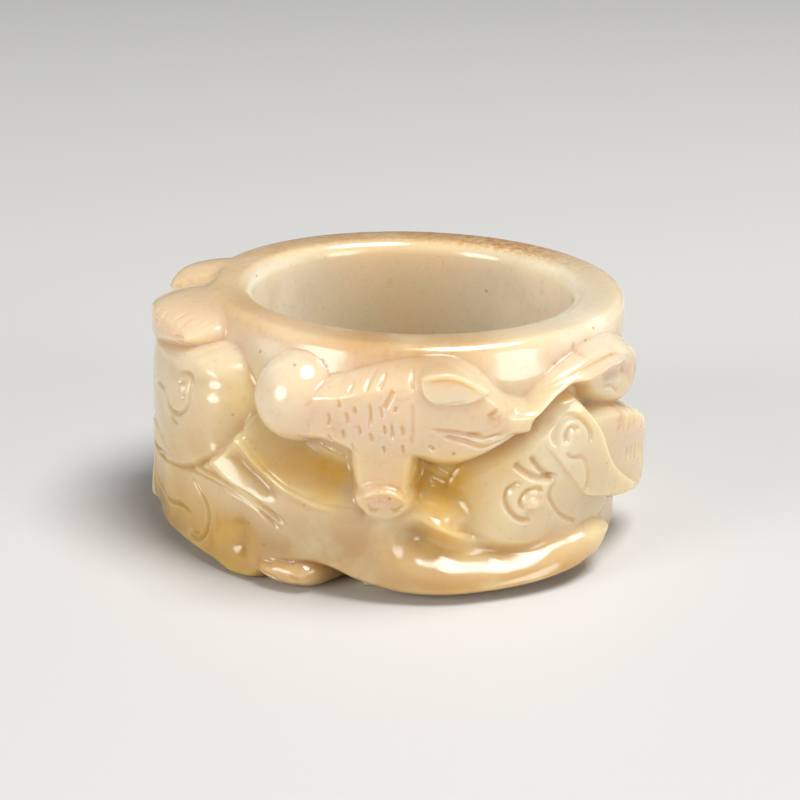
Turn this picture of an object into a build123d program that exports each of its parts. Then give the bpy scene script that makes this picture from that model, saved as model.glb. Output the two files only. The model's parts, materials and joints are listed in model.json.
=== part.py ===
from build123d import *
import math
import os
from collections import namedtuple

# An archer's thumb ring cut from one piece of stone: a short thick tube with a large bore,
# plain at the back, with curled leaves, a long-tailed bird and round lobes carved high on the front.
# Frame: +Z along the bore, origin on the bore's axis at mid-height, front of the ring towards -Y.
# A bearing is in degrees about the axis: 0 is the front, positive to the right seen from the front.

# Driving dimensions, millimetres
bore_diameter = 22.0
wall_thickness = 3.5
ring_height = 16.5
relief_height = 3.07
rim_round = 0.7
foot_round = 0.5
bore_round = 1.0

# How finely the wall is followed: in degrees, and in levels of height
full_turn = 360.0
carved_from, carved_to = -124.0, 92.0
carved_step = 1.8
plain_step = 6.0
wall_levels = 30
round_levels = (0.0, 0.35, 0.75)
steps_per_corner = 3

bore_radius = bore_diameter / 2
band_radius = bore_radius + wall_thickness
arc_per_degree = math.radians(1) * (band_radius + relief_height / 2)

# A form is carved inside an outline of corners, to the rises that its pegs give.
# Heights are percent of ring_height above the foot, rises are percent of relief_height above the band.
# border is the width of its rounded edge and reach how far a peg is felt, both shares of relief_height.
# Between the two corners that crest numbers, the edge is a crest at nearly full height, with a hollow
# fall outside it. soft is the fillet where the form meets the rest, a share of relief_height too.
# A ridge is a broad raised line on a form, or a hollow one where its rise is negative; left and right
# are its half widths along its path, percent of relief_height, and it fades in and out at its ends.
Corner = namedtuple("Corner", "bearing height")
Peg = namedtuple("Peg", "bearing height rise")
Ridge = namedtuple("Ridge", "rise left right fade path")
Form = namedtuple("Form", "outline pegs border reach soft crest ridges")

# The share of the rise that stands right at a crest, and how its outer side falls
crest_share = 0.86
crest_skirt = 0.9
crest_fall = 2.5
crest_end = 0.02


def form(outline, pegs, border, reach=0.5, soft=0.08, crest=None, ridges=()):
    """One carved form, with its corners, pegs and ridges named."""
    corners, pegs = [Corner(*row) for row in outline], [Peg(*row) for row in pegs]
    ridges = [ridge._replace(path=[Corner(*row) for row in ridge.path]) for ridge in ridges]
    return Form(corners, pegs, border, reach, soft, crest, ridges)


low_side_knob = form(
    outline=[(-84, 2), (-92, -4), (-101, -3), (-107, 4), (-108, 14), (-104, 22), (-96, 25), (-88, 21)],
    pegs=[(-94, 11, 122), (-104, 12, 105)],
    border=0.45,
)
high_side_knob = form(
    outline=[(-98, 91), (-101, 96.5), (-107, 99.8), (-114, 99), (-118, 95), (-118, 86), (-112, 81),
             (-104, 82), (-98, 86)],
    pegs=[(-106, 90, 102), (-113, 92, 96)],
    border=0.4,
)
left_petal = form(
    outline=[(-60, 93), (-67, 96.5), (-80, 98), (-91, 96.5), (-99, 92), (-102, 84), (-97, 75), (-85, 73),
             (-74, 76), (-63, 80), (-58.5, 87)],
    pegs=[(-63, 91, 70), (-68, 90, 88), (-75, 88, 108), (-85, 86, 114), (-95, 85, 100), (-64, 83, 75),
          (-75, 78, 104)],
    border=0.43, soft=0.1,
)
upper_left_lobe = form(
    outline=[(-64, 86), (-58, 88.6), (-52, 89.6), (-46.5, 88.8), (-42.4, 86), (-39.8, 80.5), (-38.8, 71),
             (-40.5, 62), (-44, 56), (-48.5, 50), (-53, 44), (-60, 37), (-70, 34), (-82, 34), (-93, 40),
             (-99, 54), (-101, 70), (-97, 80), (-84, 79), (-74, 81)],
    pegs=[(-90, 62, 109), (-80, 64, 109), (-72, 67, 108), (-62, 66, 104), (-62, 55, 102), (-60, 78, 102),
          (-55, 68, 100), (-54.5, 80, 96), (-50.5, 68, 88), (-49.5, 79, 82), (-47, 70, 72),
          (-44.5, 79, 68), (-43, 70, 58), (-54, 56, 94), (-50.5, 56, 82), (-47, 60, 62), (-72, 42, 104),
          (-62, 42, 98), (-86, 44, 106)],
    border=0.66, reach=0.42, soft=0.08,
    ridges=[
        Ridge(5, 20, 9, 0.3, [(-50, 82), (-50.2, 76), (-51, 70), (-51.4, 64), (-52.2, 57), (-52.6, 51)]),
    ],
)
right_petal = form(
    outline=[(48, 64), (52, 67.5), (58, 67), (64, 65), (71, 61), (78, 55.4), (85, 47.5), (88, 36),
             (85, 22), (76, 18), (66, 20), (58, 25), (53, 30), (50, 39)],
    pegs=[(54, 60, 45), (60, 60, 56), (66, 57, 64), (74, 52, 67), (81, 45, 66), (80, 36, 70), (80, 27, 66),
          (71, 38, 58), (66, 42, 48), (60, 44, 42), (64, 34, 44), (60, 52, 50)],
    border=0.3, reach=0.4, soft=0.08,
)
foot_knob = form(
    outline=[(-37, 11), (-36.5, 3), (-33.4, -1), (-28, -2.6), (-21.6, -1.6), (-17.8, 3), (-17, 12),
             (-22.5, 15.5), (-29, 17.5), (-34.5, 16)],
    pegs=[(-28, 7, 106), (-21, 6, 92), (-34, 9, 94)],
    border=0.45, soft=0.08,
)
sweeping_leaf = form(
    outline=[(-59, 42), (-54, 44.6), (-48.4, 51), (-44.8, 57.4), (-41.2, 60.4), (-38.4, 57.6), (-35, 51.4),
             (-31.2, 46.4), (-27, 42.8), (-22, 39.8), (-16, 37.8), (-10, 37.4), (-4, 39), (0.6, 39),
             (3.4, 36.8), (6.6, 33.8), (10, 30.6), (14, 27.4), (19, 24.6), (25, 22), (32, 19.4), (40, 18),
             (47, 18), (52, 18.6), (55.4, 17), (55.4, 11), (51, 6.6), (44, 3.4), (30, 1), (10, 0),
             (0, 0.6), (-6, 2.6), (-12, 6), (-17, 10.4), (-22, 15.4), (-28, 20), (-34, 22.6), (-38, 20),
             (-39.4, 12), (-41, 4), (-46, -1.6), (-54, -3), (-64, -2), (-74, 1), (-84, 7), (-92, 17),
             (-96, 30), (-93, 42), (-80, 50), (-66, 47)],
    pegs=[(-90, 24, 106), (-80, 24, 112), (-68, 24, 107), (-70, 10, 102), (-60, 21, 98), (-60, 6, 94),
          (-51, 12, 92), (-45, 6, 92), (-45, 24, 84), (-56, 34, 97), (-46, 32, 90), (-50, 44, 99),
          (-45, 42, 97), (-40, 37, 91), (-34, 31, 83), (-46, 50, 86), (-41, 49, 76), (-35, 42, 72),
          (-41, 57, 82), (-36.5, 51, 80), (-30, 44, 76), (-22, 38, 73), (-26, 28, 76), (-15, 22, 76),
          (-12, 14, 78), (-14, 34, 72), (0, 36, 84), (7, 30, 88), (12, 26, 87), (19, 22, 78), (-2, 20, 82),
          (5, 14, 88), (14, 11, 92), (24, 10, 92), (32, 10, 92), (40, 11, 88), (-8, 24, 76), (-4, 11, 84),
          (12, 4, 92), (25, 4, 92), (38, 6, 90), (48, 9, 80), (53, 14, 64)],
    border=0.38, reach=0.3, soft=0.08, crest=(1, 20),
    ridges=[
        Ridge(9, 22, 12, 0.15, [(-46, 55), (-42.5, 58.6), (-39.2, 56.6), (-36, 51), (-32, 45.8),
              (-27.5, 41.8), (-21, 38.2), (-14, 36.4)]),
        Ridge(-7, 20, 20, 0.25, [(-43, 53.6), (-40, 50.8), (-37, 46.4), (-33.6, 41.8), (-29, 37.4)]),
        Ridge(11, 34, 13, 0.22, [(-50, 46.8), (-46.6, 45.8), (-43, 42.2), (-39.2, 38), (-35.6, 34.4),
              (-32, 31.4)]),
        Ridge(8, 10, 18, 0.25, [(-55, 43.8), (-52.5, 46.8), (-50, 49.6), (-47, 53)]),
        Ridge(6, 12, 16, 0.25, [(-1, 38), (3.5, 35), (8, 30.8), (13, 26.8), (19, 23.4)]),
        Ridge(-62, 36, 31, 0.16, [(-10, 31), (-5, 29), (0, 25.6), (5, 22), (12, 18.8), (20, 17.4),
              (28, 17.4), (36, 18.4), (44, 19.2), (52, 20)]),
        Ridge(-14, 26, 26, 0.3, [(-41, 29), (-39.4, 24), (-38.8, 18), (-39.4, 12)]),
    ],
)
right_leaf = form(
    outline=[(26.5, 62), (28.6, 65), (30.9, 70.8), (32.6, 74.4), (35.4, 77.4), (38.3, 78.8), (41.2, 78.8),
             (44.6, 72.4), (47.4, 67), (50, 61), (53, 52), (56, 44.7), (58.5, 36), (60, 27), (60, 18),
             (57, 10), (48, 8), (36, 9), (24, 14), (17, 22), (13.5, 32), (13.5, 42), (16, 50), (20, 54),
             (23.5, 58)],
    pegs=[(34, 66, 66), (38.5, 69, 76), (42, 66, 77), (46, 58, 73), (48, 48, 71), (52, 36, 58),
          (35, 57, 76), (42, 44, 73), (48, 30, 56), (54, 22, 46), (29, 40, 73), (25, 49, 62), (21, 39, 52),
          (23, 31, 48), (34, 30, 62), (42, 24, 48), (18, 24, 32), (28, 20, 34), (38, 17, 32), (48, 17, 36),
          (57, 26, 40)],
    border=0.36, reach=0.36, soft=0.3,
    ridges=[
        Ridge(6, 20, 20, 0.4, [(29, 34), (29.3, 38), (29.5, 40)]),
    ],
)
right_lobe = form(
    outline=[(28.6, 65), (30.9, 70.8), (32.6, 74.4), (35.4, 77.4), (38.3, 78.8), (41.2, 78.8),
             (44.6, 72.4), (47.4, 67), (50, 61), (53, 52), (56.4, 45), (61.5, 38.5), (68, 32), (74, 27),
             (75.5, 23.4), (71, 21.4), (64, 22.8), (57, 26), (51, 29), (46, 31.4), (43, 34), (38.7, 41.6),
             (35.8, 48), (32.8, 54.3), (30, 60)],
    pegs=[(34, 66, 68), (38.5, 69, 78), (42, 66, 79), (46, 58, 76), (48, 48, 75), (52, 40, 70),
          (37, 56, 78), (42, 46, 76), (47, 36, 70), (53, 32, 68), (60, 29, 66), (67, 25, 62), (60, 35, 64),
          (66, 31, 64)],
    border=0.3, reach=0.36, soft=0.08,
)
tail = form(
    outline=[(19, 80), (24, 80), (27, 79.6), (29, 82), (31.8, 85.6), (35.4, 90), (39.5, 92.8),
             (44.2, 94.8), (49.1, 95.8), (54.5, 95.6), (61.5, 94), (68, 89.6), (73.2, 83.6), (76, 76),
             (74.6, 68), (70.6, 64), (64, 62.4), (58, 64.4), (52, 68.6), (47, 72.6), (43.4, 77.4),
             (40, 80), (37, 78.6), (33.6, 75.4), (30.4, 70.4), (28, 64), (20, 66)],
    pegs=[(25, 77, 78), (30, 77, 75), (33, 82, 75), (38, 82, 70), (41, 87, 68), (50, 90, 65), (60, 87, 60),
          (68, 82, 53), (74, 76, 42), (54, 78, 44), (63, 74, 48), (70, 70, 44), (47, 80, 52)],
    border=0.3, reach=0.36, soft=0.08,
    ridges=[
        Ridge(7, 10, 22, 0.2, [(26, 78.6), (30, 82.2), (35, 85.4), (41, 87), (48, 87.4), (55, 86.6),
              (61, 84)]),
        Ridge(-9, 16, 16, 0.25, [(46, 84), (52, 83.6), (58, 82), (63, 78), (66, 72)]),
    ],
)
bird_leg = form(
    outline=[(-11.6, 60), (-11.4, 55), (-11.6, 51), (-10, 46), (0, 46), (0.8, 51), (0.6, 55), (1.4, 60)],
    pegs=[(-6, 58, 78), (-6, 50, 80)],
    border=0.3, soft=0.08,
)
bird_foot = form(
    outline=[(-12.6, 48.6), (-11.4, 51.6), (-8.6, 53.6), (-5, 54.2), (-1.6, 53), (0.8, 50.6), (2.2, 47),
             (1.6, 42.8), (-1.4, 39.6), (-5.4, 38.2), (-9, 39), (-11.6, 42.6)],
    pegs=[(-5.4, 47, 97), (-9.6, 44.6, 92), (-1.4, 45, 92), (-5.4, 51, 86)],
    border=0.3, soft=0.08,
)
bird_body = form(
    outline=[(-29, 83), (-24, 87), (-19, 89), (-15.7, 89.8), (-10, 92.8), (-6, 94.4), (-2.4, 95.4),
             (1, 96.4), (4.4, 96.8), (8, 96.8), (11.5, 95.8), (15.6, 93), (18.5, 89.6), (20.8, 86.2),
             (23.6, 82.4), (28, 80), (32, 78), (32.4, 72), (29.4, 67.6), (27, 64.6), (24, 61.6), (21, 59),
             (17.6, 56.2), (13.6, 54), (9, 53), (5, 54), (1.4, 55.6), (-5, 55), (-10, 55), (-13.5, 57.4),
             (-16.4, 59.2), (-19.6, 60.4), (-23, 60), (-27, 61), (-31, 62.4), (-33, 70), (-32, 78)],
    pegs=[(-26, 70, 84), (-20, 78, 86), (-14, 77, 88), (-8, 76, 89), (0, 77, 89), (10, 76, 85),
          (18, 74, 80), (25, 73, 74), (30, 74, 68), (-20, 66, 82), (-14, 63, 78), (-6, 61, 74),
          (3, 61, 71), (12, 61, 69), (20, 64, 68), (0, 89, 74), (12, 88, 70), (-8, 86, 78), (-15, 84, 82)],
    border=0.42, reach=0.42, soft=0.08,
)
bird_wing = form(
    outline=[(1.3, 90.1), (1.7, 93.6), (3.9, 95.6), (8, 96), (11.8, 94), (15.3, 90.2), (18, 86.2),
             (15.7, 83.1), (12.1, 80.7), (6.8, 80.4), (4.1, 81.6), (2, 85.3)],
    pegs=[(3, 88, 91), (6, 93, 80), (6, 84, 94), (11, 92, 78), (12, 85, 93), (16, 87, 82)],
    border=0.3, reach=0.3, soft=0.08,
)
forms = (low_side_knob, high_side_knob, left_petal, upper_left_lobe, right_petal, foot_knob, sweeping_leaf,
         right_leaf, right_lobe, tail, bird_leg, bird_foot, bird_body, bird_wing)

# The bird's round head, half sunk in the band
head = Peg(bearing=-28.0, height=76.8, rise=12)
head_radius = 0.97
head_soft = 0.1

# The rim slopes in above the left forms, and the band swells a little above the bird
shoulder = Peg(bearing=-72, height=82, rise=-23)
shoulder_half_span, shoulder_fade = 22.0, 14.0
swell = Peg(bearing=4, height=68, rise=24)
swell_half_span, swell_fade, swell_top = 58.0, 18.0, 16.0
swell_start = 12.0

# The foot's outer edge is dented between the round knob and the leaf
foot_dent = Ridge(-50, 20, 20, 0.2, [Corner(-23, -1.5), Corner(-19, 0.5), Corner(-15, 0), Corner(-11, -2)])


def height_of(percent):
    return percent / 100 * ring_height


def laid_out(place):
    """A corner laid out flat, in millimetres along and up the wall."""
    return place.bearing * arc_per_degree, height_of(place.height)


def ease(share):
    share = min(max(share, 0), 1)
    return share * share * (3 - 2 * share)


def smooth_path(corners, closed):
    """A smooth line through the corners."""
    flat = [laid_out(corner) for corner in corners]
    if closed:
        ends = [flat[-1]] + flat + flat[:2]
    else:
        ends = [flat[0]] + flat + [flat[-1]]
    line = []
    for before, start, end, after in zip(ends, ends[1:], ends[2:], ends[3:]):
        for step in range(steps_per_corner):
            t = step / steps_per_corner
            line.append(tuple(
                q + (r - p) * t / 2 + (p - 2.5 * q + 2 * r - s / 2) * t**2
                + (1.5 * (q - r) + (s - p) / 2) * t**3
                for p, q, r, s in zip(before, start, end, after)))
    return line + [flat[0] if closed else flat[-1]]


def walked_shares(line):
    """How far along a line each of its points lies, as a share of its length."""
    walked = [0.0]
    for (ax, az), (bx, bz) in zip(line, line[1:]):
        walked.append(walked[-1] + math.hypot(bx - ax, bz - az))
    return [length / walked[-1] for length in walked]


def nearest_on(line, shares, x, z):
    """Distance from a place to a line, the share of it where the nearest point lies, and if it lies left."""
    found = (math.inf, 0.0, False)
    for (ax, az), (bx, bz), start, end in zip(line, line[1:], shares, shares[1:]):
        dx, dz = bx - ax, bz - az
        along = min(max(((x - ax) * dx + (z - az) * dz) / max(dx * dx + dz * dz, 1e-12), 0), 1)
        distance = math.hypot(x - ax - along * dx, z - az - along * dz)
        if distance < found[0]:
            found = (distance, start + along * (end - start), dx * (z - az) - dz * (x - ax) > 0)
    return found


def is_inside(line, x, z):
    inside = False
    for (ax, az), (bx, bz) in zip(line, line[1:]):
        if (az > z) != (bz > z) and x < (bx - ax) * (z - az) / (bz - az) + ax:
            inside = not inside
    return inside


def blend_up(low, high, fillet):
    """The greater of two rises, with a small fillet where they are nearly equal."""
    share = min(max(0.5 + 0.5 * (high - low) / fillet, 0), 1)
    return low + (high - low) * share + fillet * share * (1 - share)


class Traced:
    """A path worked out once: its smooth line, the shares along it and the box that it can reach."""

    def __init__(self, corners, closed, margin):
        self.line = smooth_path(corners, closed)
        self.shares = walked_shares(self.line)
        self.low = [min(place[i] for place in self.line) - margin for i in (0, 1)]
        self.high = [max(place[i] for place in self.line) + margin for i in (0, 1)]

    def reaches(self, x, z):
        return self.low[0] <= x <= self.high[0] and self.low[1] <= z <= self.high[1]


def traced_ridge(ridge):
    return Traced(ridge.path, False, 2.5 * max(ridge.left, ridge.right) / 100 * relief_height)


def ridge_rise(ridge, traced, x, z):
    """How much one ridge raises a place, or lowers it."""
    if not traced.reaches(x, z):
        return 0.0
    distance, share, on_left = nearest_on(traced.line, traced.shares, x, z)
    width = (ridge.left if on_left else ridge.right) / 100 * relief_height
    ends = ease(min(share, 1 - share) / ridge.fade)
    return ridge.rise / 100 * relief_height * ends * math.exp(-(distance / width) ** 2)


def form_rise(carved, traced, traced_ridges, x, z):
    """Rise of one form, or None where it doesn't reach."""
    if not traced.reaches(x, z):
        return None
    distance, share, _ = nearest_on(traced.line, traced.shares, x, z)
    lip = 0.0
    if carved.crest:
        first, last = (traced.shares[corner * steps_per_corner] for corner in carved.crest)
        lip = crest_share * ease((share - first) / crest_end) * ease((last - share) / crest_end)
    if is_inside(traced.line, x, z):
        t = min(distance / (carved.border * relief_height), 1)
        profile = lip + (1 - lip) * math.sin(math.pi / 2 * t) ** 0.8
    elif lip and distance < crest_skirt * relief_height:
        profile = lip * (1 - distance / (crest_skirt * relief_height)) ** crest_fall
    else:
        return None
    felt_over = 2 * (carved.reach * relief_height) ** 2
    felt = [math.exp(-((x - along) ** 2 + (z - above) ** 2) / felt_over) + 1e-9
            for along, above in map(laid_out, carved.pegs)]
    rise = relief_height * sum(f * peg.rise for f, peg in zip(felt, carved.pegs)) / sum(felt) / 100
    rise += sum(ridge_rise(ridge, line, x, z) for ridge, line in zip(carved.ridges, traced_ridges))
    return profile * rise


traced_forms = [(carved, Traced(carved.outline, True, crest_skirt * relief_height),
                 [traced_ridge(ridge) for ridge in carved.ridges]) for carved in forms]
traced_dent = traced_ridge(foot_dent)


def wall_rise(bearing, z):
    """Rise of the outer wall above the band, at a bearing and a height above the foot."""
    x = bearing * arc_per_degree
    beyond = max(abs(bearing - shoulder.bearing) - shoulder_half_span, 0) / shoulder_fade
    up = max((z - height_of(shoulder.height)) / (ring_height - height_of(shoulder.height)), 0)
    rise = shoulder.rise / 100 * relief_height * math.exp(-beyond**2) * up**1.5
    rise += (swell.rise / 100 * relief_height * ease((ring_height - z) / height_of(swell_top))
             * ease((swell_half_span - abs(bearing - swell.bearing)) / swell_fade)
             * ease((z - height_of(swell.height)) / height_of(swell_start)))
    rise += ridge_rise(foot_dent, traced_dent, x, z)
    for carved, traced, traced_ridges in traced_forms:
        more = form_rise(carved, traced, traced_ridges, x, z)
        if more is not None:
            rise = blend_up(rise, more, carved.soft * relief_height)
    off_head = math.hypot(x - head.bearing * arc_per_degree, z - height_of(head.height))
    if off_head < head_radius * relief_height:
        ball = math.sqrt((head_radius * relief_height) ** 2 - off_head**2) + head.rise / 100 * relief_height
        rise = blend_up(rise, ball, head_soft * relief_height)
    return rise


# Where the wall is followed: fine round the carving, coarse round the plain back
carved_count = round((carved_to - carved_from) / carved_step)
plain_span = full_turn - (carved_to - carved_from)
plain_count = round(plain_span / plain_step)
bearings = [carved_from + (carved_to - carved_from) * i / carved_count for i in range(carved_count)]
bearings += [carved_to + plain_span * i / plain_count for i in range(plain_count)]

foot_heights = [foot_round * share for share in round_levels]
rim_heights = [ring_height - rim_round * share for share in reversed(round_levels)]
straight = ring_height - rim_round - foot_round
straight_heights = [foot_round + straight * i / wall_levels for i in range(wall_levels + 1)]
heights = foot_heights + straight_heights + rim_heights


def averaged(before, here, after):
    """Rises averaged a little with those beside them, so that no carved edge is left jagged."""
    return [(a + 4 * b + c) / 6 for a, b, c in zip(before, here, after)]


def level_rises(z):
    """Rise of the wall at every bearing, at one height."""
    row = [wall_rise((bearing + full_turn / 2) % full_turn - full_turn / 2, z) for bearing in bearings]
    return averaged(row[-1:] + row[:-1], row, row[1:] + row[:1])


def wall_outline(z, rises):
    """The outer wall's closed outline at one height, as places in the plan."""
    into_rim = max(z - ring_height + rim_round, 0)
    into_foot = max(foot_round - z, 0)
    rounding = rim_round - math.sqrt(rim_round**2 - into_rim**2)
    rounding += foot_round - math.sqrt(foot_round**2 - into_foot**2)
    places = []
    for bearing, rise in zip(bearings, rises):
        radius = band_radius + rise - rounding
        places.append((radius * math.sin(math.radians(bearing)), -radius * math.cos(math.radians(bearing))))
    return places


# The whole ring: the carved wall lofted level by level, then the bore with its rounded mouths
base = -ring_height / 2
levels = [level_rises(z) for z in heights]
levels = [averaged(*rows) for rows in zip(levels[:1] + levels[:-1], levels, levels[1:] + levels[-1:])]
with BuildPart() as thumb_ring:
    for z, rises in zip(heights, levels):
        with BuildSketch(Plane.XY.offset(base + z)):
            with BuildLine():
                Polyline(*wall_outline(z, rises), close=True)
            make_face()
    loft(ruled=True)
    Cylinder(bore_radius, ring_height, mode=Mode.SUBTRACT)
    fillet(thumb_ring.edges().filter_by(GeomType.CIRCLE), bore_round)

thumb_ring.part.label = "thumb_ring"
os.makedirs("parts", exist_ok=True)
export_step(thumb_ring.part, "parts/thumb_ring.step")
print("volume mm3", round(thumb_ring.part.volume, 1))
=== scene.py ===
import json
import math
from collections import namedtuple

import bpy
import numpy as np
from mathutils import Matrix, Vector


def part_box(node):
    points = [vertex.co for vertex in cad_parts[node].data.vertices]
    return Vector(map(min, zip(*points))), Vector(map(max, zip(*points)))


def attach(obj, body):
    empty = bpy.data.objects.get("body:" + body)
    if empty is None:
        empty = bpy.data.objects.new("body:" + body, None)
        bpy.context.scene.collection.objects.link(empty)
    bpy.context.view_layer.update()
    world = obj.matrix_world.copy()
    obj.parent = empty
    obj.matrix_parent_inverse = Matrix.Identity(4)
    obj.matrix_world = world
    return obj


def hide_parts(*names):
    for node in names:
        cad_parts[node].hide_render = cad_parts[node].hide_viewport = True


# An archer's thumb ring cut from one piece of pale jade and polished, with leaves and a bird carved high
# on its front
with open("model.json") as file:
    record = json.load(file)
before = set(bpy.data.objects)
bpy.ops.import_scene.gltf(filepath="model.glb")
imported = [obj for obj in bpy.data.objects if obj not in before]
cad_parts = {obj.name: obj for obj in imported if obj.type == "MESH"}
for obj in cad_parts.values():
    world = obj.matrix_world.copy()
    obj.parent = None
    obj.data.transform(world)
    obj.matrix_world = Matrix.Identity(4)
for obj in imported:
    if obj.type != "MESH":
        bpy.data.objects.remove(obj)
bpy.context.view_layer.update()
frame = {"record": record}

# Sizes taken from the frame, in metres
RING_LOW, RING_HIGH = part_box("thumb_ring")
RING_HEIGHT = RING_HIGH[2] - RING_LOW[2]
BAND_RADIUS = RING_HIGH[1]
MOUNTS = {mount["name"]: mount for mount in frame["record"]["mounts"]}
BORE_RADIUS = MOUNTS["thumb_bore"]["dims"]["r_mm"] / 1000
BORE_ROUND = (RING_HEIGHT - MOUNTS["thumb_bore"]["dims"]["length_mm"] / 1000) / 2

# Sizes judged from the photo, in metres
RELIEF = 0.0030
RIM_ROUND = 0.0007
FOOT_ROUND = 0.0005
ARC_PER_DEGREE = math.radians(1) * (BAND_RADIUS + RELIEF / 2)


# Carving: every table gives bearings in degrees round the ring (0 at the front, positive to the right),
# heights in percent of the ring's height, and rises and widths in percent of the relief. An outline's
# corner is a bearing and a height, a peg a bearing, a height and a rise; border, reach and soft are shares
# of the relief. A line's rise is negative where it is cut in; left and right are its half widths as seen
# along its path, and fade is the share of its length over which each end dies out.
Peg = namedtuple("Peg", "bearing height rise")
Line = namedtuple("Line", "rise left right fade path")
LINE_STEPS = 6
LINE_REACH = 2.5
STROKE_BOW = 0.3
STROKE_FADE = 0.3

# A form's edge: how full its rounded border is, and how steeply it drops outside its outline
BORDER_POWER = 0.8
OUTSIDE_SLOPE = 2.2

# A crest: its height as a share of the form's rise, the shares of the outline over which it starts and
# ends, how far the hollow outside it reaches as a share of the relief, and how the hollow falls
CREST_SHARE = 0.86
CREST_START, CREST_END = 0.02, 0.04
SKIRT = 0.9
SKIRT_POWER = 1.2

# The least values that keep divisions from zero: a step along a line, squared, and the weight of a far peg
LEAST_STEP = 1e-18
LEAST_WEIGHT = 1e-9


def arc(bearing):
    """The way along the wall to a bearing, in metres."""
    return np.asarray(bearing, float) * ARC_PER_DEGREE


def up(height):
    """The way up the wall to a height in percent, in metres."""
    return np.asarray(height, float) / 100 * RING_HEIGHT


def ease(share):
    """Rises smoothly from 0 to 1, and stays at them outside."""
    share = np.clip(share, 0, 1)
    return share * share * (3 - 2 * share)


def smooth_line(points, closed):
    """A smooth line through (bearing, height) points, laid out flat in metres."""
    flat = np.array([(arc(b), up(h)) for b, h in points])
    if closed:
        before, after, beyond = np.roll(flat, 1, 0), np.roll(flat, -1, 0), np.roll(flat, -2, 0)
        start = flat
    else:
        ends = np.vstack([2 * flat[0] - flat[1], flat, 2 * flat[-1] - flat[-2]])
        before, start, after, beyond = ends[:-3], ends[1:-2], ends[2:-1], ends[3:]
    t = (np.arange(LINE_STEPS) / LINE_STEPS)[None, :, None]
    p, q, r, s = (v[:, None, :] for v in (before, start, after, beyond))
    line = (2 * q + (r - p) * t + (2 * p - 5 * q + 4 * r - s) * t**2 + (3 * q - p - 3 * r + s) * t**3) / 2
    line = line.reshape(-1, 2)
    return line if closed else np.vstack([line, flat[-1:]])


def line_distance(x, z, line):
    """How far each place is from a line, at what share of its length, and whether it lies to its left."""
    nearest = np.full(x.shape, np.inf)
    share = np.zeros(x.shape)
    on_left = np.zeros(x.shape, bool)
    lengths = np.hypot(*np.diff(line, axis=0).T)
    total = lengths.sum()
    walked = 0.0
    for (ax, az), (bx, bz), length in zip(line[:-1], line[1:], lengths):
        dx, dz = bx - ax, bz - az
        t = np.clip(((x - ax) * dx + (z - az) * dz) / max(length**2, LEAST_STEP), 0, 1)
        distance = np.hypot(x - ax - t * dx, z - az - t * dz)
        closer = distance < nearest
        nearest[closer] = distance[closer]
        share[closer] = (walked + t[closer] * length) / total
        on_left[closer] = (dx * (z - az) - dz * (x - ax))[closer] > 0
        walked += length
    return nearest, share, on_left


def inside_loop(x, z, loop):
    """Whether each place lies inside a closed line."""
    inside = np.zeros(x.shape, bool)
    for (ax, az), (bx, bz) in zip(loop, np.roll(loop, -1, 0)):
        if az != bz:
            inside ^= ((az > z) != (bz > z)) & (x < (bx - ax) * (z - az) / (bz - az) + ax)
    return inside


def blend_up(low, high, fillet):
    """The greater of two rises, with a small fillet where they are nearly equal."""
    share = np.clip(0.5 + 0.5 * (high - low) / fillet, 0, 1)
    return low + (high - low) * share + fillet * share * (1 - share)


def near(x, z, line, margin):
    """The places on the wall that a line can touch, so that far places cost nothing."""
    low, high = line.min(0) - margin, line.max(0) + margin
    return (x >= low[0]) & (x <= high[0]) & (z >= low[1]) & (z <= high[1])


def line_rise(x, z, line):
    """How much one line raises the wall, or cuts it, fading out at both its ends."""
    path = smooth_line(line.path, closed=False)
    margin = LINE_REACH * max(line.left, line.right) / 100 * RELIEF
    touched = near(x, z, path, margin)
    distance, share, on_left = line_distance(x[touched], z[touched], path)
    width = np.where(on_left, line.left, line.right) / 100 * RELIEF
    ends = ease(np.minimum(share, 1 - share) / line.fade)
    change = np.zeros(x.shape)
    change[touched] = line.rise / 100 * RELIEF * ends * np.exp(-(distance / width) ** 2)
    return change


def carve_form(rise, x, z, outline, pegs, border, reach=0.5, soft=0.06, lines=(), crest=None):
    """Raises one form inside its outline to the rises of its pegs, with its own raised and cut lines.

    Its edge is rounded over the border. Between the crest's two corners the edge stays high instead, and
    the stone falls away outside it in a hollow. Everywhere else the form drops steeply outside its outline,
    so that it meets what is round it in a fillet, as wide as soft says."""
    loop = smooth_line(outline, closed=True)
    touched = near(x, z, loop, SKIRT * RELIEF)
    fx, fz = x[touched], z[touched]
    edge = np.vstack([loop, loop[:1]])
    distance, share, _ = line_distance(fx, fz, edge)
    lip = 0.0
    if crest:
        walked = np.append(0, np.cumsum(np.hypot(*np.diff(edge, axis=0).T)))
        first, last = (walked[corner * LINE_STEPS] / walked[-1] for corner in crest)
        lip = CREST_SHARE * ease((share - first) / CREST_START) * ease((last - share) / CREST_END)
    inward = np.sin(math.pi / 2 * np.clip(distance / (border * RELIEF), 0, 1)) ** BORDER_POWER
    outward = (0.5 + 0.5 * np.cos(math.pi * np.clip(distance / (SKIRT * RELIEF), 0, 1))) ** SKIRT_POWER
    profile = np.where(inside_loop(fx, fz, loop), lip + (1 - lip) * inward, lip * outward)
    weights, total = np.zeros(fx.shape), np.zeros(fx.shape)
    for bearing, height, peg_rise in pegs:
        away = (fx - arc(bearing)) ** 2 + (fz - up(height)) ** 2
        weight = np.exp(-away / (2 * (reach * RELIEF) ** 2)) + LEAST_WEIGHT
        weights += weight
        total += weight * peg_rise / 100 * RELIEF
    new = total / weights
    for line in lines:
        new += line_rise(fx, fz, line)
    new = np.where(profile > 0, profile * new, -OUTSIDE_SLOPE * distance)
    rise[touched] = blend_up(rise[touched], new, soft * RELIEF)


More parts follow.
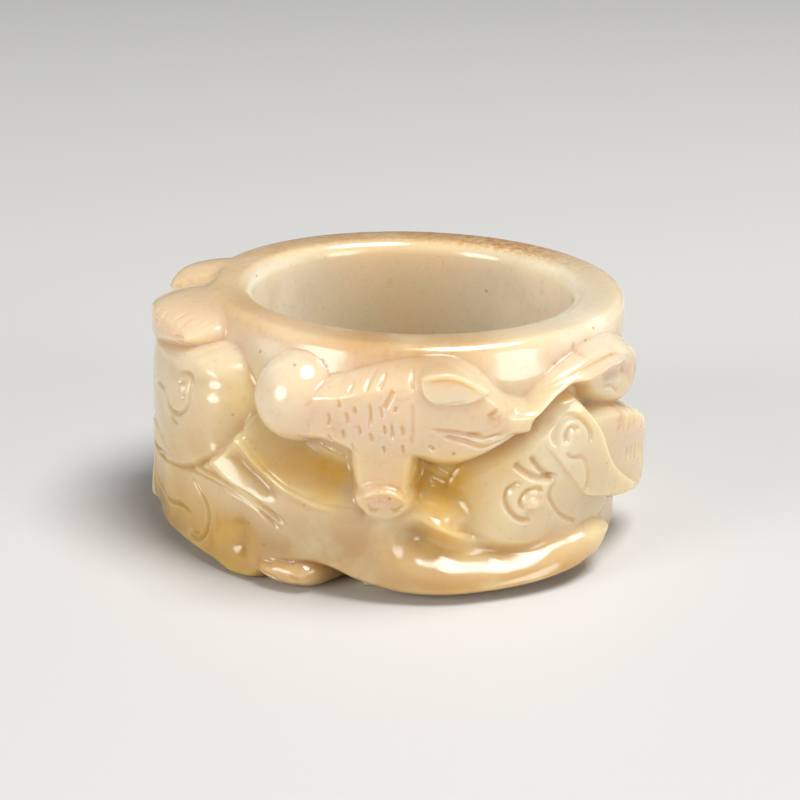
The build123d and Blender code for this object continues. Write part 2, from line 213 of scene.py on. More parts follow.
def carve_ball(rise, x, z, bearing, height, radius, sink, soft):
    """Raises a round knob; its radius, its centre's height above the band (sink) and its fillet are shares
    of the relief."""
    off = np.hypot(x - arc(bearing), z - up(height))
    ball = np.where(off < radius * RELIEF,
                    np.sqrt(np.clip((radius * RELIEF) ** 2 - off**2, 0, None)) + sink * RELIEF, -RELIEF)
    rise[:] = blend_up(rise, ball, soft * RELIEF)


def cut(path, depth=6, width=5, fade=0.18):
    """A fine cut line."""
    return Line(-depth, width, width, fade, path)


def strokes(starts, ends, depth=6, width=4.5):
    """Short cut strokes, each bowed a little."""
    made = []
    for (b0, h0), (b1, h1) in zip(starts, ends):
        middle = ((b0 + b1) / 2 + STROKE_BOW, (h0 + h1) / 2)
        made.append(cut([(b0, h0), middle, (b1, h1)], depth, width, STROKE_FADE))
    return made


LOW_SIDE_KNOB = dict(
    outline=[(-84, 2), (-92, -4), (-101, -3), (-107, 4), (-108, 14), (-104, 22), (-96, 25), (-88, 21)],
    pegs=[(-94, 11, 122), (-104, 12, 105)],
    border=0.45,
    lines=strokes([(-93, 18), (-97, 19), (-101, 19)], [(-93, 8), (-97, 7), (-101, 8)]))
HIGH_SIDE_KNOB = dict(
    outline=[(-98, 91), (-101, 96.5), (-107, 99.8), (-114, 99), (-118, 95), (-118, 86), (-112, 81),
             (-104, 82), (-98, 86)],
    pegs=[(-106, 90, 102), (-113, 92, 96)],
    border=0.4)
LEFT_PETAL = dict(
    outline=[(-60, 93), (-67, 96.5), (-80, 98), (-91, 96.5), (-99, 92), (-102, 84), (-97, 75), (-85, 73),
             (-74, 76), (-63, 80), (-58.5, 87)],
    pegs=[(-63, 91, 70), (-68, 90, 88), (-75, 88, 108), (-85, 86, 114), (-95, 85, 100), (-64, 83, 75),
          (-75, 78, 104)],
    border=0.43, soft=0.1,
    lines=strokes([(-78, 93), (-74.5, 93), (-70, 95), (-67, 94.5), (-64.5, 95), (-62.5, 94.5), (-82, 92),
                   (-87, 92)],
                  [(-77, 87), (-73, 89), (-69.5, 91.5), (-66, 90), (-63.5, 91.5), (-61.5, 92), (-81, 85),
                   (-86, 85)])
    + [cut([(-68, 87.5), (-65, 88.2), (-62.5, 87)]), cut([(-67, 84.5), (-64, 85.2), (-61.5, 84)])])
UPPER_LEFT_LOBE = dict(
    outline=[(-68, 85.6), (-61, 87), (-54, 88.2), (-48.6, 86.6), (-44, 83), (-39.4, 78.8), (-35.6, 73.4),
             (-34, 67), (-35, 58), (-38.6, 51), (-43, 46), (-48, 41), (-52, 36), (-60, 31), (-72, 30),
             (-84, 33), (-94, 40), (-99, 54), (-101, 72), (-98, 86), (-86, 87), (-76, 86)],
    pegs=[(-90, 62, 109), (-83, 64, 110), (-76, 66, 111), (-70, 67, 111), (-64, 68, 110),
          (-58.5, 68, 108), (-53.6, 68, 106), (-49, 68, 103), (-45.8, 68, 94), (-43.2, 68, 76),
          (-41, 68, 50), (-39, 68, 22), (-36.8, 68, 4), (-34.6, 68, 0), (-90, 77, 104), (-80, 78, 103),
          (-70, 79, 99), (-62, 80, 94), (-56, 80, 91), (-52, 80, 88), (-48.6, 80, 80), (-45.4, 80, 62),
          (-42.8, 79, 38), (-40.6, 78, 16), (-38, 77, 2), (-56, 58, 113), (-52, 58, 110),
          (-48.6, 58, 102), (-45.6, 58, 82), (-43, 57, 56), (-40, 57, 24), (-37, 58, 3), (-64, 57, 112),
          (-72, 56, 111), (-80, 54, 110), (-52, 48, 110), (-48, 50, 101), (-58, 48, 110), (-66, 46, 109),
          (-76, 44, 108), (-86, 44, 107), (-58, 39, 103), (-68, 37, 104)],
    border=0.4, reach=0.25, soft=0.14,
    lines=[cut([(-62, 74.5), (-58, 77), (-55.2, 76), (-54.4, 71), (-55, 65), (-57.5, 60.5), (-61, 59),
                (-63.5, 61), (-65, 65)], 8, 5.5),
           cut([(-59.6, 72.4), (-57.5, 72.6), (-56.7, 69), (-57.4, 65.8)], 7, 5),
           cut([(-73, 65), (-68, 65.6), (-65.8, 65)], 5, 5),
           cut([(-62.5, 57), (-60, 55.5), (-58, 56.5)], 5, 4.5)])
RIGHT_PETAL = dict(
    outline=[(48, 64), (52, 67.5), (58, 67), (64, 65), (71, 61), (78, 55.4), (85, 47.5), (88, 36),
             (85, 22), (76, 18), (66, 20), (58, 25), (53, 30), (50, 39)],
    pegs=[(54, 60, 45), (60, 60, 56), (66, 57, 64), (74, 52, 65), (81, 45, 63), (80, 36, 67),
          (80, 27, 64), (71, 38, 58), (66, 42, 48), (60, 44, 42), (64, 34, 44), (60, 52, 50)],
    border=0.3, reach=0.4, soft=0.07,
    lines=strokes([(61, 63), (64, 62.6), (67, 61.4), (70, 60), (73.5, 57.6), (77, 54.6)],
                  [(62, 51), (65.3, 50.6), (68.5, 49.5), (71.7, 48.4), (75.3, 46.8), (79, 44.6)], 6, 5)
    + strokes([(66, 44), (68.5, 43.6), (71, 43), (73.5, 42), (76, 41)],
              [(66.6, 37), (69.2, 36.4), (71.8, 35.6), (74.4, 34.8), (77, 34)], 6, 5))
RIGHT_LEAF = dict(
    outline=[(22, 62), (27, 66), (30.9, 70.8), (32.6, 74.4), (35.4, 77.4), (38.3, 78.8), (41.2, 78.8),
             (44.6, 72.4), (47.4, 67), (50, 61), (53, 52), (56, 44.7), (58.5, 36), (60, 27), (60, 22),
             (56, 18), (48, 16), (36, 14), (25, 15), (15, 21), (10, 28), (9, 36), (10, 44), (13.6, 52),
             (18, 58)],
    pegs=[(34, 66, 50), (38.5, 69, 60), (42, 66, 72), (46, 58, 73), (48, 48, 71), (52, 36, 58),
          (35, 57, 74), (42, 44, 73), (48, 30, 56), (54, 22, 46), (29, 42, 73), (25.5, 49, 62),
          (23, 39, 62), (24, 31, 64), (34, 30, 64), (42, 26, 54), (18, 25, 50), (28, 23, 50),
          (38, 21, 32), (48, 23, 36), (57, 26, 40), (19, 40, 42), (20, 49, 40), (15, 42, 20),
          (16, 51, 14), (12, 42, 4), (12, 33, 8), (15, 32, 24), (19, 31, 50), (23, 58, 48), (28, 60, 60),
          (30, 34, 62)],
    border=0.4, reach=0.36, soft=0.34,
    lines=[cut([(28.1, 57.4), (30.6, 51.4), (33.2, 48), (35.6, 47)], 12, 7),
           cut([(24.4, 55), (26.5, 51.5), (30, 48), (35, 46.5)], 12, 7, 0.12),
           cut([(35.3, 46.8), (33.2, 40.6), (34.9, 34.6), (39.2, 27.6), (44.5, 23)], 6, 4.5, 0.1),
           cut([(29.6, 30.6), (26.4, 31.2), (24, 34.8), (22.8, 39.6), (23.6, 44), (26.4, 47)],
               11, 6.5, 0.12),
           cut([(27.4, 35.2), (26.2, 37.6), (26.4, 40.4), (27.9, 43), (30.2, 43.4), (32, 41.6)], 10, 5.5),
           Line(7, 18, 18, 0.4, [(29, 34), (29.3, 38), (29.5, 40)])])
RIGHT_LOBE = dict(
    outline=[(28.6, 65), (30.9, 70.8), (32.6, 74.4), (35.4, 77.4), (38.3, 78.8), (41.2, 78.8),
             (44.6, 72.4), (47.4, 67), (50, 61), (53, 52), (56.4, 45), (61.5, 38.5), (68, 32), (74, 27),
             (75.5, 23.4), (71, 21.4), (64, 22.8), (57, 26), (51, 29), (46, 31.4), (43, 34), (38.7, 41.6),
             (35.8, 48), (32.8, 54.3), (30, 60)],
    pegs=[(29, 65, 30), (31, 71, 26), (34, 75.6, 30), (38.5, 79, 42), (32.5, 59, 70), (34.6, 64, 66),
          (37, 68.5, 66), (40, 72.6, 72), (38, 62, 80), (42, 67, 80), (46, 58, 76), (48, 48, 75),
          (52, 40, 70), (37, 55, 80), (42, 46, 76), (47, 36, 70), (53, 32, 68), (60, 29, 66),
          (67, 25, 62), (60, 35, 64), (66, 31, 64)],
    border=0.2, reach=0.26, soft=0.05,
    lines=[cut([(27.1, 67), (28.7, 62.7), (32.8, 54.3), (38.7, 41.6), (43.4, 33.3), (47, 29.4)],
               7, 5, 0.08),
           cut([(34.6, 59), (34, 64), (35.3, 68.8), (38, 70.6), (41, 68.6), (43.3, 64.1), (43.8, 59.5),
                (42.4, 57.6)], 9, 5.5, 0.12),
           cut([(37, 60), (36.8, 63.4), (38.4, 65.8), (40.6, 65)], 9, 5.5),
           cut([(36, 57), (38.5, 54), (41.5, 53), (43.5, 47.5), (44, 41), (42.5, 36)], 7, 4.5, 0.12)]
    + strokes([(52.5, 32.5), (55, 31.4), (57.5, 30.2), (60, 29), (62.8, 27.8), (65.8, 26.4), (69, 24.8)],
              [(50.8, 28.6), (53.2, 27.4), (55.6, 26.2), (58, 25), (60.6, 23.6), (63.6, 22.2),
               (66.8, 20.6)], 11, 5))
TAIL = dict(
    outline=[(19, 80), (24, 80), (27, 79.6), (29, 82), (31.8, 85.2), (35.4, 88.6), (39.5, 91), (44.2, 93),
             (49.1, 94.2), (54.5, 94.6), (61.5, 93.4), (68, 89.6), (73.2, 83.6), (76, 76), (74.6, 68),
             (70.6, 64), (64, 62.4), (58, 64.4), (52, 68.6), (47, 72.6), (43.4, 77.4), (40, 80),
             (37, 78.6), (33.6, 75.4), (30.4, 70.4), (28, 64), (20, 66)],
    pegs=[(25, 77, 80), (30, 77, 76), (33, 82, 74), (38, 82, 72), (41, 87, 68), (50, 90, 64),
          (60, 87, 60), (68, 82, 53), (74, 76, 42), (54, 78, 46), (63, 74, 48), (70, 70, 44),
          (47, 80, 56)],
    border=0.36, reach=0.36, soft=0.06,
    lines=[Line(8, 6, 8, 0.12,
                [(21, 79.8), (26, 80.6), (30, 83.6), (34.6, 86.6), (39.4, 89), (44.4, 90.8), (50, 91.8),
                 (56, 91.6)]),
           Line(-10, 6, 6, 0.1,
                [(22, 77.6), (27, 78.4), (31, 81.2), (35.6, 84.4), (40.6, 86.8), (46, 88.4), (52, 89.2),
                 (58, 88.6)]),
           Line(8, 7, 12, 0.14,
                [(24, 75), (28.6, 76), (32.6, 78.8), (37, 82), (42, 84), (47.6, 85.4), (54, 86), (61, 84)]),
           Line(-9, 16, 16, 0.25, [(48, 81), (53, 81.4), (58, 80.4), (63, 77), (66, 72)]),
           cut([(57, 84.6), (60.5, 82), (62, 78)], 7, 5), cut([(50, 77.6), (55, 76), (59, 71)], 5, 5),
           cut([(62, 90.6), (66.4, 86), (69, 80)], 5, 5)])
FOOT_KNOB = dict(
    outline=[(-37.6, 10), (-37, 3), (-33.4, -1), (-28, -2.6), (-22, -1.4), (-18.8, 3.4), (-18, 10),
             (-20, 15), (-25, 18), (-31, 18), (-36, 15)],
    pegs=[(-28, 5, 104), (-21, 6, 88), (-34, 7, 97), (-28, 12, 97), (-24, 14, 90)],
    border=0.55, soft=0.12,
    lines=[cut([(-35, 12.4), (-32.4, 11.4), (-29.6, 10.4)], 7, 4.5),
           cut([(-33, 14.6), (-29.5, 13), (-24.6, 11.4)], 7, 4.5),
           cut([(-34, 8.2), (-31.4, 6.4), (-28, 5.4)], 7, 4.5),
           cut([(-29, 3.4), (-26, 2.8), (-23, 3.2)], 6, 4.5),
           cut([(-26, 7.4), (-23.4, 6.9), (-20.8, 7.6)], 5, 4.5)])
SWEEPING_LEAF = dict(
    outline=[(-59, 42), (-54, 44.6), (-48.4, 51), (-44.8, 57.4), (-41.2, 60.4), (-38.4, 57.6),
             (-35, 51.4), (-31.2, 46.4), (-27, 42.8), (-22, 39.8), (-16, 37.8), (-10, 37.4), (-4, 39),
             (0.6, 38.6), (3.4, 36.4), (6.6, 33.4), (10, 30.2), (14, 27), (19, 24.4), (25, 23.6),
             (32, 23), (40, 23), (47, 23), (53, 22.6), (57.6, 19.6), (58.6, 14), (53.6, 7.6), (44, 3.4),
             (30, 1), (10, 0), (0, 0.6), (-6, 2.6), (-12, 5), (-17, 8), (-21, 9), (-25, 8), (-29, 6),
             (-32, 2), (-35, -2), (-39, -4), (-43, -4), (-48, -1.6), (-54, -0.8), (-64, -0.6), (-74, 1.6),
             (-84, 7), (-92, 17), (-96, 30), (-93, 42), (-80, 50), (-66, 47)],
    pegs=[(-90, 24, 106), (-80, 24, 112), (-68, 24, 107), (-70, 10, 102), (-60, 21, 98), (-60, 6, 94),
          (-51, 12, 94), (-45, 6, 92), (-41, 10, 88), (-38, 4, 90), (-45, 24, 88), (-40, 20, 84),
          (-35, 13, 86), (-30, 14, 82), (-24, 12, 74), (-56, 34, 99), (-46, 32, 94), (-50, 44, 107),
          (-45, 42, 100), (-40, 37, 92), (-34, 31, 85), (-35, 24, 84), (-28, 20, 80), (-46.6, 50, 101),
          (-41, 49, 79), (-35, 42, 72), (-42, 57, 92), (-36.5, 51, 80), (-30, 44, 76), (-22, 38, 73),
          (-26, 28, 76), (-15, 22, 76), (-12, 14, 78), (-14, 34, 68), (-6, 35, 72), (0, 38, 64),
          (4, 35, 74), (8, 31.6, 90), (12, 28, 104), (16, 25.4, 107), (20, 23, 90), (25, 22, 74),
          (-2, 20, 82), (5, 14, 88), (14, 11, 92), (24, 10, 92), (32, 12, 92), (40, 14, 88), (46, 17, 80),
          (-8, 24, 76), (-4, 11, 84), (12, 4, 92), (25, 4, 92), (38, 6, 90), (48, 9, 80), (54, 15, 62)],
    border=0.38, reach=0.3, soft=0.08, crest=(3, 18),
    lines=[Line(10, 20, 10, 0.15,
                [(-46, 55), (-42.5, 58.6), (-39.2, 56.6), (-36, 51), (-32, 45.8), (-27.5, 41.8),
                 (-21, 38.2), (-14, 36.4)]),
           Line(-9, 13, 13, 0.25, [(-43.2, 53.2), (-40.2, 50.2), (-36.8, 45.8), (-33, 41.4), (-29, 37.4)]),
           Line(10, 24, 10, 0.2,
                [(-50.6, 47.4), (-47, 46.6), (-43.4, 43), (-39.6, 38.8), (-35.8, 34.8), (-31, 30.6)]),
           Line(8, 10, 18, 0.25, [(-55, 43.8), (-52.5, 46.8), (-50, 49.6), (-47, 53)]),
           Line(20, 9, 15, 0.45, [(-1, 38.6), (3, 36), (7, 32.4), (11, 28.8), (15.6, 25.6), (20, 23.4)]),
           Line(-62, 40, 44, 0.2,
                [(-6.5, 29.6), (-2.4, 28), (1.6, 25.8), (5.6, 23.4), (10.4, 21.2), (17, 19.8), (24, 20),
                 (31, 21.4), (38, 24), (44, 27), (50, 29)]),
           cut([(-88, 36), (-80, 35), (-71, 35.6), (-61.7, 38.4), (-53.8, 41.4), (-47, 41), (-42.1, 39.4),
                (-37, 36.8), (-32.4, 33.2), (-27, 27.2)], 7, 5, 0.06),
           cut([(-75, 33), (-62, 35.6), (-54, 38.6), (-47.4, 38.4), (-42.6, 36.6), (-37.6, 34),
                (-33, 30.4), (-28, 24.8)], 6, 4.5, 0.08),
           Line(4, 8, 8, 0.1,
                [(-70, 34.6), (-61.7, 37), (-54, 40), (-47.2, 39.7), (-42.4, 38), (-37.3, 35.4),
                 (-32.7, 31.8)]),
           cut([(-80, 30), (-77.3, 23), (-74, 19.4), (-69, 18.4), (-65, 17.6), (-60, 19.6), (-54.6, 18.6)],
               6, 5, 0.1),
           cut([(-54.4, 36), (-52.4, 32), (-50.4, 27.6), (-49.2, 21), (-49.8, 14.5), (-51.6, 10.4),
                (-54.2, 8.4), (-57.4, 9.6)], 7, 5, 0.1),
           cut([(-56, 12), (-53.6, 10.8), (-52, 12.6)], 5, 4.5),
           Line(-10, 22, 22, 0.3, [(-41, 27), (-39.4, 22), (-39, 16), (-39.6, 8)]),
           cut([(-12.6, 46), (-11.3, 40), (-8.6, 35)], 8, 5)])
BIRD_BODY = dict(
    outline=[(-29, 83), (-24, 87), (-19, 89), (-15.7, 89.8), (-10, 92.8), (-6, 94.4), (-2.4, 95.4),
             (1, 96.4), (4.4, 96.8), (8, 96.8), (11.5, 95.8), (15.6, 93), (18.5, 89.6), (20.8, 86.2),
             (23.6, 82.4), (28, 80), (32, 78), (32.4, 72), (29.4, 67.6), (27, 64.6), (24, 61.6), (21, 59),
             (17.6, 56.2), (13.6, 54), (9, 53), (5, 54), (1.4, 55.6), (-5, 55), (-10, 55), (-13.5, 57.4),
             (-16.4, 59.2), (-19.6, 60.4), (-23, 60), (-27, 61), (-31, 62.4), (-33, 70), (-32, 78)],
    pegs=[(-26, 70, 84), (-20, 78, 86), (-14, 77, 88), (-8, 76, 89), (0, 77, 89), (10, 76, 85),
          (18, 74, 80), (25, 73, 74), (30, 74, 68), (-20, 66, 82), (-14, 63, 78), (-6, 61, 74),
          (3, 61, 71), (12, 61, 69), (20, 64, 68), (0, 89, 74), (12, 88, 70), (-8, 86, 78), (-15, 84, 82)],
    border=0.42, reach=0.42, soft=0.07,
    lines=[cut([(4, 72.1), (9.9, 70.7), (13.2, 69.2), (16.7, 69.6)], 8, 5),
           cut([(6.6, 69.6), (11.6, 67), (15.9, 64.1), (20.3, 64.9), (23.8, 67.4), (25.7, 68.8)],
               9, 5, 0.12),
           cut([(12, 70.1), (16.6, 67.6), (21, 69.2)], 7, 5),
           cut([(16.5, 76), (17.6, 77), (19.2, 79)], 7, 5),
           cut([(20.6, 76), (22, 76.4), (23.9, 77)], 6, 5),
           cut([(-6.2, 95.5), (-7.8, 92.9), (-9, 88.8), (-9.4, 85.6)], 8, 4.5),
           cut([(-5.3, 92.4), (-6.1, 89.2), (-6.5, 86.8)], 8, 4.5),
           cut([(-3.4, 87.9), (-4.4, 83.9), (-5.6, 79.5)], 8, 5),
           cut([(0.8, 95), (0.4, 91.3), (0.6, 86.6)], 7, 4.5),
           cut([(0.2, 83.5), (0.7, 74.4), (0.6, 64.8)], 4, 5)]
    + strokes([(-17.4, 77.4), (-13.6, 78.2), (-8.5, 82.6), (-6.4, 81.3), (-3.9, 75.6), (-1.8, 74.2),
               (-8.4, 70.4), (-11.9, 80.5), (-14.4, 70.9), (-11, 73.2), (-5.5, 73.9), (-15, 89.4),
               (-2.9, 95.8), (-17.6, 68), (-12.4, 65.4), (-5.6, 65.4), (-1.6, 66), (-12.6, 88.6),
               (-15.4, 82.6), (-3.2, 81.6), (4, 65.6)],
              [(-17.4, 71), (-13.2, 72.7), (-8.4, 71.9), (-6, 75.5), (-3.8, 66.9), (-1.5, 68.7),
               (-8, 65.6), (-11.6, 76.2), (-14.1, 66.2), (-10.5, 68.4), (-5.3, 69.2), (-16.5, 86.7),
               (-4.5, 92.1), (-17, 64.2), (-11.8, 61.6), (-5.4, 61.4), (-1.4, 62.2), (-13.4, 84.6),
               (-15.2, 78.6), (-3.4, 78.2), (5.6, 62.6)], 6.5, 3.6))
BIRD_WING = dict(
    outline=[(1.3, 90.1), (1.7, 93.6), (3.9, 95.6), (8, 96), (11.8, 94), (15.3, 90.2), (18, 86.2),
             (15.7, 83.1), (12.1, 80.7), (6.8, 80.4), (4.1, 81.6), (2, 85.3)],
    pegs=[(3, 88, 91), (6, 93, 80), (6, 84, 94), (11, 92, 78), (12, 85, 93), (16, 87, 82)],
    border=0.12, reach=0.3, soft=0.03,
    lines=[Line(5, 5, 9, 0.15,
                [(2.6, 92), (4.6, 93.6), (8.2, 93.8), (11.4, 92.2), (14.6, 89.2), (17, 86)]),
           cut([(3.4, 91), (5.4, 92), (8.4, 91.8), (11.2, 90.2), (14, 87.4)], 5, 5),
           cut([(4.4, 83.4), (6.6, 82.4), (9.4, 82.8), (12, 82.8)], 5, 4.5)])
BIRD_LEG = dict(
    outline=[(-14.6, 66), (-14.4, 58), (-14, 51), (-13, 45), (-10.6, 40), (-5.2, 38), (0.2, 40), (2, 45),
             (2.6, 51), (3, 58), (3.4, 66)],
    pegs=[(-5.2, 62, 78), (-5.2, 54, 76), (-5.2, 46, 80), (-10.5, 52, 72), (0.5, 52, 72)],
    border=0.36, soft=0.34)
BIRD_FOOT = dict(
    outline=[(-13.6, 42), (-12.8, 46.2), (-11, 49.8), (-8.4, 52.4), (-5.6, 53.2), (-2.6, 52.2), (0.2, 50),
             (2.2, 46.4), (2.8, 42), (1.8, 37), (-1.4, 32.8), (-5.4, 31.4), (-9.4, 32.8), (-12.4, 37)],
    pegs=[(-5.2, 48, 84), (-10, 45, 80), (-0.6, 45, 81), (-5.2, 42, 83), (-10, 39, 75), (-0.6, 39, 78),
          (-5.2, 38, 78), (-5.2, 34, 69), (-5.2, 31, 60), (-11, 36, 66), (1, 37, 68)],
    border=0.3, reach=0.36, soft=0.24,
    lines=[Line(9, 5, 5, 0.12,
                [(-12.4, 45), (-10.6, 48), (-8.4, 49.9), (-5.6, 51.2), (-2.4, 50.2), (0, 48), (1.4, 44.8)]),
           cut([(-11, 44.6), (-9.2, 47.2), (-7, 49), (-4.6, 49.4), (-2.2, 48.2), (-0.4, 45.6)],
               14, 4.5, 0.12),
           Line(10, 4.5, 8, 0.16,
                [(-10, 42.6), (-8.6, 45.4), (-6.4, 47), (-4, 47), (-1.8, 45.4), (0, 42)]),
           cut([(-9, 40.6), (-7.8, 38.8), (-6, 38.8)], 7, 4.5),
           cut([(-4, 39.4), (-2.4, 39.2), (-0.8, 41)], 7, 4.5),
           cut([(-13.4, 43.6), (-11.2, 38.6), (-9, 35)], 8, 5)])
FORMS = (LOW_SIDE_KNOB, HIGH_SIDE_KNOB, LEFT_PETAL, UPPER_LEFT_LOBE, RIGHT_PETAL, FOOT_KNOB,
         SWEEPING_LEAF, RIGHT_LEAF, RIGHT_LOBE, TAIL, BIRD_LEG, BIRD_FOOT, BIRD_BODY, BIRD_WING)

# The round knob at the bird's left end, a ball half sunk in the band
ROUND_KNOB = dict(bearing=-28, height=76.8, radius=0.97, sink=0.12, soft=0.1)

# The rim slopes in above the left forms, and the band swells a little above the bird: half spans and fades
# in degrees, the swell's start and top in percent of the ring's height
SHOULDER = Peg(bearing=-72, height=82, rise=-23)
SHOULDER_HALF_SPAN, SHOULDER_FADE = 22, 14
SHOULDER_POWER = 1.5
SWELL = Peg(bearing=4, height=68, rise=24)
SWELL_HALF_SPAN, SWELL_FADE, SWELL_TOP = 58, 18, 16
SWELL_START = 12

# The foot's outer edge is dented between the low knob and the leaf
FOOT_DENT = Line(-50, 20, 20, 0.2, [(-23, -1.5), (-19, 0.5), (-15, 0), (-11, -2)])


# Where the stone is honey-yellow in its hollows, flushed with pink, tan or pale, and spotted with rust, and
# where painted shade and painted light lie: wide in degrees and high in percent of the ring's height are a
# stain's half sizes
Stain = namedtuple("Stain", "bearing height wide high strength")
# Honey yellow: the stone's own honey stains, and painted shade in the recesses and low on the wall
HONEY_AND_SHADE = (Stain(-24, 50, 13, 9, 0.65), Stain(-36, 52, 7, 12, 0.3), Stain(8, 43, 8, 11, 1.0),
         Stain(16, 36, 5, 12, 0.25), Stain(-19, 46, 5, 9, 0.6), Stain(7, 27, 8, 4, 0.55),
         Stain(8, 21, 10, 5, 0.5), Stain(26, 18, 14, 4, 0.5), Stain(-42, 72, 4, 14, 0.5),
         Stain(-53, 20, 12, 16, 0.4), Stain(-28, 6, 9, 9, 0.3), Stain(-39.5, 16, 4, 10, 0.75),
         Stain(-46, 17, 2.5, 9, 0.45), Stain(3, 58, 16, 5, 0.35), Stain(22, 55, 6, 8, 0.4),
         Stain(44, 76, 5, 5, 0.5), Stain(14, 1, 28, 4, 0.5), Stain(-46, 1, 16, 6, 0.6),
         Stain(6, 50, 8, 8, 0.7), Stain(-68, 22, 22, 20, 0.35), Stain(-62, 48, 14, 8, 0.3),
         Stain(62, 72, 5, 6, 0.3), Stain(60, 10, 8, 14, 0.3), Stain(-100, 50, 14, 20, 0.4),
         Stain(100, 20, 30, 25, 0.2))
BLUSH = (Stain(-5, 94, 26, 8, 0.5), Stain(-6, 74, 14, 12, 0.9), Stain(16, 68, 12, 10, 0.5),
         Stain(-70, 90, 22, 9, 0.8), Stain(-112, 90, 10, 10, 0.8), Stain(48, 88, 16, 10, 0.7),
         Stain(68, 80, 8, 10, 0.8), Stain(72, 50, 12, 14, 0.6), Stain(-5, 48, 7, 11, 0.9),
         Stain(-27, 7, 8, 8, 0.7), Stain(-22, 70, 6, 12, 0.35), Stain(-96, 10, 10, 12, 0.6),
         Stain(-40, 97, 20, 5, 0.5))
# Tan: some of it the stone's own, most of it painted shade, low on the wall, on the left, in the recesses,
# on the rim's top and on the band above the bird
TAN_AND_SHADE = (Stain(-66, 12, 24, 22, 1.0), Stain(-44, 8, 12, 12, 0.5), Stain(-24, 20, 16, 18, 0.55),
       Stain(-8, 24, 13, 14, 0.6), Stain(10, 7, 28, 8, 0.9), Stain(42, 6, 16, 9, 0.7),
       Stain(-58, 48, 18, 12, 0.35), Stain(-28, 7, 9, 10, 1.0), Stain(52, 38, 10, 16, 0.2),
       Stain(80, 20, 20, 20, 0.3), Stain(-110, 40, 16, 36, 0.5), Stain(180, 101, 60, 9, 1.0),
       Stain(0, 101, 42, 5, 1.0), Stain(4, 94, 14, 6, 0.7), Stain(-62, 101, 22, 5, 0.5),
       Stain(7, 47, 8, 11, 0.6), Stain(-28, 50, 14, 8, 0.2), Stain(-40, 16, 5, 10, 0.8))
BORE_TAN = (Stain(186, 50, 40, 200, 0.55), Stain(0, 50, 60, 200, 0.5))
# Pale: paler stone, and painted light on the band at the left
PALE_AND_LIGHT = (Stain(-29, 80, 9, 12, 0.5), Stain(-38, 93, 10, 6, 0.9), Stain(8, 88, 9, 7, 0.5),
        Stain(48, 98, 34, 7, 0.9), Stain(60, 85, 12, 12, 0.6), Stain(36, 60, 8, 14, 0.3),
        Stain(110, 80, 30, 40, 0.6), Stain(-56, 82, 12, 8, 0.3), Stain(170, 60, 60, 60, 0.6))
# Rust spots; the wide one along the back of the rim's top is painted shade
RUST_AND_SHADE = (Stain(44.6, 93.4, 1.0, 1.8, 0.9), Stain(37.5, 90, 1.6, 1.0, 0.6), Stain(41, 92, 2.0, 0.8, 0.4),
        Stain(70.6, 78, 2.0, 5, 0.9), Stain(70.8, 71, 1.6, 4, 0.7), Stain(59.5, 60, 0.9, 4.5, 0.8),
        Stain(66, 63, 6, 1.2, 0.5), Stain(18.1, 75.2, 1.4, 1.4, 0.8), Stain(-46, 20, 0.8, 4, 0.8),
        Stain(-47.8, 13, 0.9, 4.5, 0.7), Stain(-49.4, 7, 1.2, 3, 0.4), Stain(-38.6, 14, 2.4, 8, 0.4),
        Stain(184, 100, 60, 3, 0.5), Stain(-15.8, 70, 2.5, 4, 0.25), Stain(-33.8, 10, 0.8, 3, 0.5),
        Stain(-5, 44, 4, 2, 0.3), Stain(146, 99, 24, 1.8, 0.8), Stain(-45, 97, 10, 1.6, 0.3),
        Stain(-101, 88, 3, 7, 0.4), Stain(-14, 92, 5, 1.2, 0.3))


def stained(stains, bearing, height):
    """How strongly a set of soft stains colours each place; bearings in degrees, heights in metres."""
    felt = np.zeros(bearing.shape)
    for stain in stains:
        turn = (bearing - stain.bearing + 180) % 360 - 180
        climb = height - up(stain.height)
        felt += stain.strength * np.exp(-(turn / stain.wide) ** 2 - (climb / up(stain.high)) ** 2)
    return np.clip(felt, 0, 1)


def carved_rise(bearing, height):
    """Rise of the carved wall above the band, in metres, for bearings in degrees and heights in metres."""
    x, z = arc(bearing), height
    beyond = np.clip(np.abs(bearing - SHOULDER.bearing) - SHOULDER_HALF_SPAN, 0, None) / SHOULDER_FADE
    slope = np.clip((z - up(SHOULDER.height)) / (RING_HEIGHT - up(SHOULDER.height)), 0, 1)
    rise = SHOULDER.rise / 100 * RELIEF * np.exp(-beyond**2) * slope**SHOULDER_POWER
    swell = (ease((RING_HEIGHT - z) / up(SWELL_TOP))
             * ease((SWELL_HALF_SPAN - np.abs(bearing - SWELL.bearing)) / SWELL_FADE)
             * ease((z - up(SWELL.height)) / up(SWELL_START)))
    rise += SWELL.rise / 100 * RELIEF * swell + line_rise(x, z, FOOT_DENT)
    for form in FORMS:
        carve_form(rise, x, z, **form)
    carve_ball(rise, x, z, **ROUND_KNOB)
    return rise


# The ring's mesh: one closed profile for each bearing, up the bore, over the rim, down the carved wall and
# under the foot. The profiles stand close where the wall is carved and far apart where it is plain.
CARVED_FROM, CARVED_TO = -125.0, 92.0
CARVED_COLUMNS = 1080
PLAIN_COLUMNS = 72
WALL_ROWS = 290
ROUND_ROWS = 8
FACE_ROWS = 5
BORE_ROWS = 8
KEPT_TRIANGLES = 196000

# The hand polish leaves the stone a little wavy (in metres), fading out over the carving's last degrees
WAVE_SEED = 7
WAVE_CELLS = 9
WAVE_HEIGHT = 0.000006
WAVE_FADE = 10

# A place lies in a hollow where the wall close round it is lower than the wall further off
FAR_CELLS, CLOSE_CELLS = 14, 4

# Honey yellow, partly painted shade, gathers in hollows and leaves the crests: its strength on level
# ground, its gain with a hollow's depth, the most that a crest counts against it, and a film of it in every
# hollow
HOLLOW_SHADE_LEVEL = 0.75
HOLLOW_SHADE_GAIN = 0.9
HOLLOW_SHADE_CREST = -0.4
HOLLOW_SHADE_FILM = 0.2


